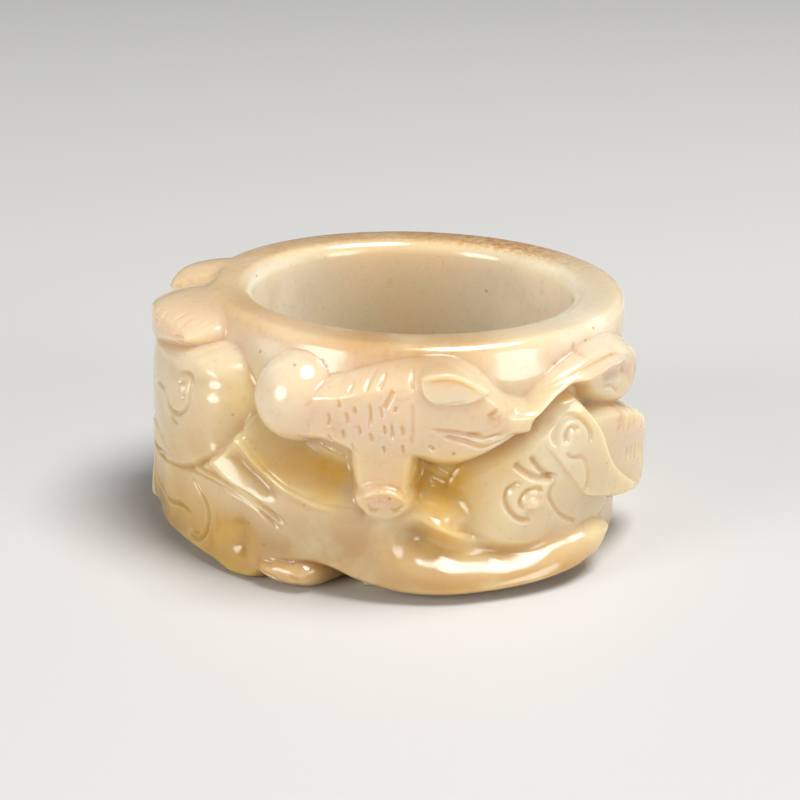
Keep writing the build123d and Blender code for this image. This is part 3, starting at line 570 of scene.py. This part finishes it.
def blurred(field, sigma):
    """The field smoothed both ways over sigma cells; nothing beyond three sigma counts."""
    reach = int(3 * sigma)
    weights = np.exp(-np.arange(-reach, reach + 1) ** 2 / (2 * sigma**2))
    weights /= weights.sum()
    for axis in (0, 1):
        padded = np.pad(field, [(reach, reach) if a == axis else (0, 0) for a in (0, 1)], mode="edge")
        length = field.shape[axis]
        field = sum(w * np.take(padded, range(k, k + length), axis=axis) for k, w in enumerate(weights))
    return field


def carved_wall(bearing, height):
    """The wall's radius at each bearing and height, and its hollows' depth in shares of the relief."""
    b, z = np.meshgrid(bearing, height, indexing="ij")
    rise = carved_rise(b, z)
    hollow = blurred(rise, FAR_CELLS) - blurred(rise, CLOSE_CELLS)
    waviness = blurred(np.random.default_rng(WAVE_SEED).standard_normal(b.shape), WAVE_CELLS)
    rise += (WAVE_HEIGHT * waviness / waviness.std()
             * ease((b - CARVED_FROM) / WAVE_FADE) * ease((CARVED_TO - b) / WAVE_FADE))
    radius = BAND_RADIUS + rise
    into_rim = np.clip(z - RING_HEIGHT + RIM_ROUND, 0, RIM_ROUND)
    into_foot = np.clip(FOOT_ROUND - z, 0, FOOT_ROUND)
    radius -= RIM_ROUND - np.sqrt(RIM_ROUND**2 - into_rim**2)
    radius -= FOOT_ROUND - np.sqrt(FOOT_ROUND**2 - into_foot**2)
    return radius, hollow / RELIEF


def store_stains(mesh, bearing, height, radius, hollow):
    """Stores at each point of the mesh how strongly every colour stains it, painted shade and light
    included.
    """
    on_wall = ease((radius - BORE_RADIUS) / BORE_ROUND)
    # Painted shade: the honey yellow deepens with a hollow's depth and thins on crests
    shade_in_hollows = HOLLOW_SHADE_LEVEL + HOLLOW_SHADE_GAIN * np.clip(hollow, HOLLOW_SHADE_CREST, 1)
    honey_and_shade = np.clip(stained(HONEY_AND_SHADE, bearing, height) * shade_in_hollows + HOLLOW_SHADE_FILM * np.clip(hollow, 0, 1), 0, 1)
    # Tan darkens as painted shade and pale brightens as painted light
    wall_tone_and_shade = 0.5 + 0.5 * (stained(TAN_AND_SHADE, bearing, height) - stained(PALE_AND_LIGHT, bearing, height))
    tone_and_shade = on_wall * wall_tone_and_shade + (1 - on_wall) * stained(BORE_TAN, bearing, height)
    amounts = {"honey_and_shade": honey_and_shade * on_wall, "blush": stained(BLUSH, bearing, height) * on_wall, "tone_and_shade": tone_and_shade,
               "rust_and_shade": stained(RUST_AND_SHADE, bearing, height) * on_wall}
    for name, values in amounts.items():
        mesh.attributes.new(name, "FLOAT", "POINT").data.foreach_set("value", values.ravel())


def ring_mesh():
    """The whole ring in one closed mesh of quads, with its stains."""
    plain_span = 360 - (CARVED_TO - CARVED_FROM)
    carved = CARVED_FROM + (CARVED_TO - CARVED_FROM) * np.arange(CARVED_COLUMNS) / CARVED_COLUMNS
    plain = CARVED_TO + plain_span * np.arange(PLAIN_COLUMNS) / PLAIN_COLUMNS
    bearing = np.concatenate([carved, plain])
    wrapped = (bearing + 180) % 360 - 180
    wall_z = np.linspace(0, RING_HEIGHT, WALL_ROWS)[::-1]
    wall_r, wall_hollow = carved_wall(wrapped, wall_z)

    inner = BORE_RADIUS + BORE_ROUND
    quarter = np.linspace(0, math.pi / 2, ROUND_ROWS)
    mouth_r = BORE_RADIUS + BORE_ROUND * (1 - np.cos(quarter))
    mouth_z = RING_HEIGHT - BORE_ROUND * (1 - np.sin(quarter))
    bore_z = np.linspace(BORE_ROUND, RING_HEIGHT - BORE_ROUND, BORE_ROWS + 1)[:-1]
    face = np.linspace(0, 1, FACE_ROWS + 1)[1:-1]

    count = len(bearing)
    columns_r, columns_z, columns_hollow = [], [], []

    def add(row_r, row_z, row_hollow=0.0):
        for columns, row in ((columns_r, row_r), (columns_z, row_z), (columns_hollow, row_hollow)):
            columns.append(np.broadcast_to(row, (count, row_r.shape[-1])))

    add(np.full(BORE_ROWS, BORE_RADIUS), bore_z)
    add(mouth_r, mouth_z)
    add(inner + (wall_r[:, :1] - inner) * face, np.full(FACE_ROWS - 1, RING_HEIGHT))
    add(wall_r, wall_z, wall_hollow)
    add(inner + (wall_r[:, -1:] - inner) * (1 - face), np.full(FACE_ROWS - 1, 0.0))
    add(mouth_r[::-1], RING_HEIGHT - mouth_z[::-1])
    r, z, hollow = (np.hstack(columns)[:, :-1] for columns in (columns_r, columns_z, columns_hollow))
    rows = r.shape[1]

    turn = np.radians(bearing)[:, None]
    verts = np.stack([r * np.sin(turn), -r * np.cos(turn), z + RING_LOW[2]], -1).reshape(-1, 3)
    i, k = np.meshgrid(np.arange(count), np.arange(rows), indexing="ij")
    j, m = (i + 1) % count, (k + 1) % rows
    quads = np.stack([i * rows + k, i * rows + m, j * rows + m, j * rows + k], -1).reshape(-1, 4)

    mesh = bpy.data.meshes.new("jade_ring")
    mesh.vertices.add(len(verts))
    mesh.vertices.foreach_set("co", verts.ravel())
    mesh.loops.add(quads.size)
    mesh.loops.foreach_set("vertex_index", quads.ravel())
    mesh.polygons.add(len(quads))
    mesh.polygons.foreach_set("loop_start", np.arange(0, quads.size, 4))
    mesh.update(calc_edges=True)
    mesh.validate()
    mesh.polygons.foreach_set("use_smooth", np.ones(len(quads), bool))
    store_stains(mesh, np.broadcast_to(wrapped[:, None], r.shape), z, r, hollow)
    return mesh


def fewer_faces(mesh):
    """The same surface in triangles, large where it is smooth and small where it is finely cut."""
    dense = bpy.data.objects.new("dense", mesh)
    bpy.context.collection.objects.link(dense)
    modifier = dense.modifiers.new("fewer", "DECIMATE")
    modifier.ratio = KEPT_TRIANGLES / (2 * len(mesh.polygons))
    graph = bpy.context.evaluated_depsgraph_get()
    thinned = bpy.data.meshes.new_from_object(dense.evaluated_get(graph))
    bpy.data.objects.remove(dense)
    bpy.data.meshes.remove(mesh)
    return thinned


ring = bpy.data.objects.new("jade_ring", fewer_faces(ring_mesh()))
bpy.context.collection.objects.link(ring)
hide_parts("thumb_ring")
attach(ring, "root")


# Materials. The stone's ground colour runs in four steps from bright to tan; the two inner ones lie at the
# pale and the middle tone. The tan end also serves as painted shade and the bright end as painted light.
BRIGHT_AND_LIT_CREAM = (0.86, 0.78, 0.63)
PALE_CREAM = (0.72, 0.62, 0.46)
CREAM = (0.72, 0.565, 0.36)
TAN_AND_SHADE_CREAM = (0.46, 0.28, 0.105)
PALE_TONE, MIDDLE_TONE = 0.22, 0.5
CELADON = (0.64, 0.57, 0.36)
HONEY_AND_SHADE_YELLOW = (0.68, 0.41, 0.055)
RUST_AND_SHADE_BROWN = (0.46, 0.20, 0.05)
PINK = (0.77, 0.54, 0.39)
SPECK_BROWN = (0.34, 0.18, 0.06)

# The stone's patterns; a scale is in cells per metre, and the hairlines' bend in metres
Noise = namedtuple("Noise", "scale detail roughness")
CLOUDS = Noise(260, 4, 0.55)
VEINS = Noise(700, 5, 0.65)
GRAIN = Noise(1900, 3, 0.6)
RUST_PATCHES = Noise(2600, 4, 0.7)
CRACK_BENDS = Noise(420, 2, 0.5)
CRACK_GAPS = Noise(480, 3, 0.5)
SPECK_GROUPS = Noise(330, 2, 0.5)
POLISH = Noise(900, 4, 0.5)
RIPPLES = Noise(1300, 3, 0.55)
CRACK_SCALE = 150
CRACK_BEND = 0.004
SPECK_SCALE = 620


def jade():
    """Translucent stone coloured by the stored stains, painted shade and painted light, broken up by finer
    patterns.
    """
    material = bpy.data.materials.new("jade")
    material.use_nodes = True
    nodes, links = material.node_tree.nodes, material.node_tree.links
    shader = nodes["Principled BSDF"]
    place = nodes.new("ShaderNodeTexCoord").outputs["Object"]

    def stored(name):
        node = nodes.new("ShaderNodeAttribute")
        node.attribute_name = name
        return node.outputs["Fac"]

    def noise(kind, output="Fac"):
        node = nodes.new("ShaderNodeTexNoise")
        node.inputs["Scale"].default_value = kind.scale
        node.inputs["Detail"].default_value = kind.detail
        node.inputs["Roughness"].default_value = kind.roughness
        links.new(place, node.inputs["Vector"])
        return node.outputs[output]

    def cells(scale, feature, where):
        node = nodes.new("ShaderNodeTexVoronoi")
        node.feature = feature
        node.inputs["Scale"].default_value = scale
        links.new(where, node.inputs["Vector"])
        return node.outputs["Distance"]

    # Spreads a pattern from low and high to how strongly it shows there
    def remap(value, low, high, to_low=0.0, to_high=1.0):
        node = nodes.new("ShaderNodeMapRange")
        bounds = {"From Min": low, "From Max": high, "To Min": to_low, "To Max": to_high}
        for name, number in bounds.items():
            node.inputs[name].default_value = number
        links.new(value, node.inputs["Value"])
        return node.outputs["Result"]

    def product(a, b):
        node = nodes.new("ShaderNodeMath")
        node.operation = "MULTIPLY"
        links.new(a, node.inputs[0])
        links.new(b, node.inputs[1])
        return node.outputs[0]

    def tinted(colour, share, tint):
        node = nodes.new("ShaderNodeMix")
        node.data_type = "RGBA"
        links.new(share, node.inputs["Factor"])
        links.new(colour, node.inputs["A"])
        node.inputs["B"].default_value = (*tint, 1)
        return node.outputs["Result"]

    # The ground tone, darker where shade is painted and brighter where light is painted
    tone_and_shade = nodes.new("ShaderNodeValToRGB")
    ramp = tone_and_shade.color_ramp.elements
    ramp[0].color = (*BRIGHT_AND_LIT_CREAM, 1)
    ramp[1].color = (*TAN_AND_SHADE_CREAM, 1)
    ramp.new(PALE_TONE).color = (*PALE_CREAM, 1)
    ramp.new(MIDDLE_TONE).color = (*CREAM, 1)
    links.new(stored("tone_and_shade"), tone_and_shade.inputs["Fac"])
    cloud = noise(CLOUDS)
    colour = tinted(tone_and_shade.outputs["Color"], remap(cloud, 0.45, 0.66, to_high=0.5), CELADON)
    blushing = product(stored("blush"), remap(cloud, 0.3, 0.6, to_low=0.25, to_high=0.7))
    colour = tinted(colour, blushing, PINK)
    # Honey yellow in the hollows, partly painted shade
    veined_honey_and_shade = product(stored("honey_and_shade"), remap(noise(VEINS), 0.3, 0.62, to_low=0.6, to_high=1.15))
    colour = tinted(colour, veined_honey_and_shade, HONEY_AND_SHADE_YELLOW)
    colour = tinted(colour, remap(noise(GRAIN), 0.56, 0.74, to_high=0.16), RUST_AND_SHADE_BROWN)
    # Rust spots, and painted shade along the back of the rim's top
    spotted_rust_and_shade = product(stored("rust_and_shade"), remap(noise(RUST_PATCHES), 0.4, 0.6, to_low=0.2))
    colour = tinted(colour, spotted_rust_and_shade, RUST_AND_SHADE_BROWN)

    # Hairlines along bent cell edges, broken by gaps
    bent = nodes.new("ShaderNodeVectorMath")
    bent.operation = "MULTIPLY_ADD"
    links.new(noise(CRACK_BENDS, "Color"), bent.inputs[0])
    bent.inputs[1].default_value = (CRACK_BEND, CRACK_BEND, CRACK_BEND)
    links.new(place, bent.inputs[2])
    edges = cells(CRACK_SCALE, "DISTANCE_TO_EDGE", bent.outputs["Vector"])
    hairline = remap(edges, 0.003, 0.012, to_low=1.0, to_high=0.0)
    broken = remap(noise(CRACK_GAPS), 0.5, 0.62, to_high=0.14)
    colour = tinted(colour, product(hairline, broken), RUST_AND_SHADE_BROWN)

    # Specks, only here and there
    dots = remap(cells(SPECK_SCALE, "F1", place), 0.05, 0.10, to_low=1.0, to_high=0.0)
    grouped = remap(noise(SPECK_GROUPS), 0.53, 0.6, to_high=0.55)
    colour = tinted(colour, product(dots, grouped), SPECK_BROWN)
    links.new(colour, shader.inputs["Base Color"])

    links.new(remap(noise(POLISH), 0.3, 0.7, to_low=0.08, to_high=0.21), shader.inputs["Roughness"])
    bump = nodes.new("ShaderNodeBump")
    bump.inputs["Strength"].default_value = 0.35
    bump.inputs["Distance"].default_value = 0.00003
    links.new(noise(RIPPLES), bump.inputs["Height"])
    links.new(bump.outputs["Normal"], shader.inputs["Normal"])
    shader.inputs["IOR"].default_value = 1.61
    shader.inputs["Subsurface Weight"].default_value = 1.0
    shader.inputs["Subsurface Radius"].default_value = (1.0, 0.78, 0.45)
    shader.inputs["Subsurface Scale"].default_value = 0.0030
    return material


def pale_floor():
    """A plain matt floor in place of the photo's black ground."""
    material = bpy.data.materials.new("pale_floor")
    material.use_nodes = True
    shader = material.node_tree.nodes["Principled BSDF"]
    shader.inputs["Base Color"].default_value = (0.62, 0.61, 0.59, 1)
    shader.inputs["Roughness"].default_value = 0.55
    return material


ring.data.materials.append(jade())

# The floor that the ring stands on, in metres wide enough to reach past the picture
FLOOR_SIZE = 3
bpy.ops.mesh.primitive_plane_add(size=FLOOR_SIZE, location=(0, 0, RING_LOW[2]))
floor = bpy.context.object
floor.name = "floor"
floor.data.materials.append(pale_floor())

# Camera, at the photograph's angle: above the front, rolled a little
CAMERA_DISTANCE = 0.145
CAMERA_ELEVATION = math.radians(19.1)
CAMERA_ROLL = math.radians(1.4)
FOCAL_PX, FRAME_PX = 2075, 800
CENTRE_PX = (410.4, 396.0)

camera_data = bpy.data.cameras.new("camera")
camera_data.sensor_width = 36
camera_data.lens = camera_data.sensor_width * FOCAL_PX / FRAME_PX
camera_data.shift_x = -(CENTRE_PX[0] - FRAME_PX / 2) / FRAME_PX
camera_data.shift_y = (CENTRE_PX[1] - FRAME_PX / 2) / FRAME_PX
camera_data.clip_start = 0.01
camera = bpy.data.objects.new("camera", camera_data)
bpy.context.collection.objects.link(camera)
backward = Vector((0, -math.cos(CAMERA_ELEVATION), math.sin(CAMERA_ELEVATION)))
level_up = Vector((0, math.sin(CAMERA_ELEVATION), math.cos(CAMERA_ELEVATION)))
level_right = Vector((1, 0, 0))
rolled_right = level_right * math.cos(CAMERA_ROLL) + level_up * math.sin(CAMERA_ROLL)
rolled_up = level_up * math.cos(CAMERA_ROLL) - level_right * math.sin(CAMERA_ROLL)
turned = Matrix((rolled_right, rolled_up, backward)).transposed()
camera.matrix_world = Matrix.Translation(backward * CAMERA_DISTANCE) @ turned.to_4x4()
bpy.context.scene.camera = camera

# Lights: soft oval panels that all face the ring from the same distance
PANEL_DISTANCE = 0.6
Panel = namedtuple("Panel", "name direction size power")
PANELS = (Panel("overhead", (0.30, -0.12, 0.94), (0.44, 0.31), 4.3),
          Panel("left_panel", (-0.73, -0.615, 0.28), (0.31, 0.35), 2.0),
          Panel("right_panel", (0.79, -0.56, 0.26), (0.27, 0.33), 1.2))

for panel in PANELS:
    data = bpy.data.lights.new(panel.name, "AREA")
    data.shape = "ELLIPSE"
    data.size, data.size_y = panel.size
    data.energy = panel.power
    light = bpy.data.objects.new(panel.name, data)
    bpy.context.collection.objects.link(light)
    away = Vector(panel.direction).normalized()
    facing = away.to_track_quat("Z", "Y").to_matrix().to_4x4()
    light.matrix_world = Matrix.Translation(away * PANEL_DISTANCE) @ facing

world = bpy.data.worlds.new("studio")
world.use_nodes = True
world.node_tree.nodes["Background"].inputs["Color"].default_value = (0.9, 0.95, 1.0, 1)
world.node_tree.nodes["Background"].inputs["Strength"].default_value = 0.12
bpy.context.scene.world = world
bpy.context.scene.view_settings.view_transform = "Standard"
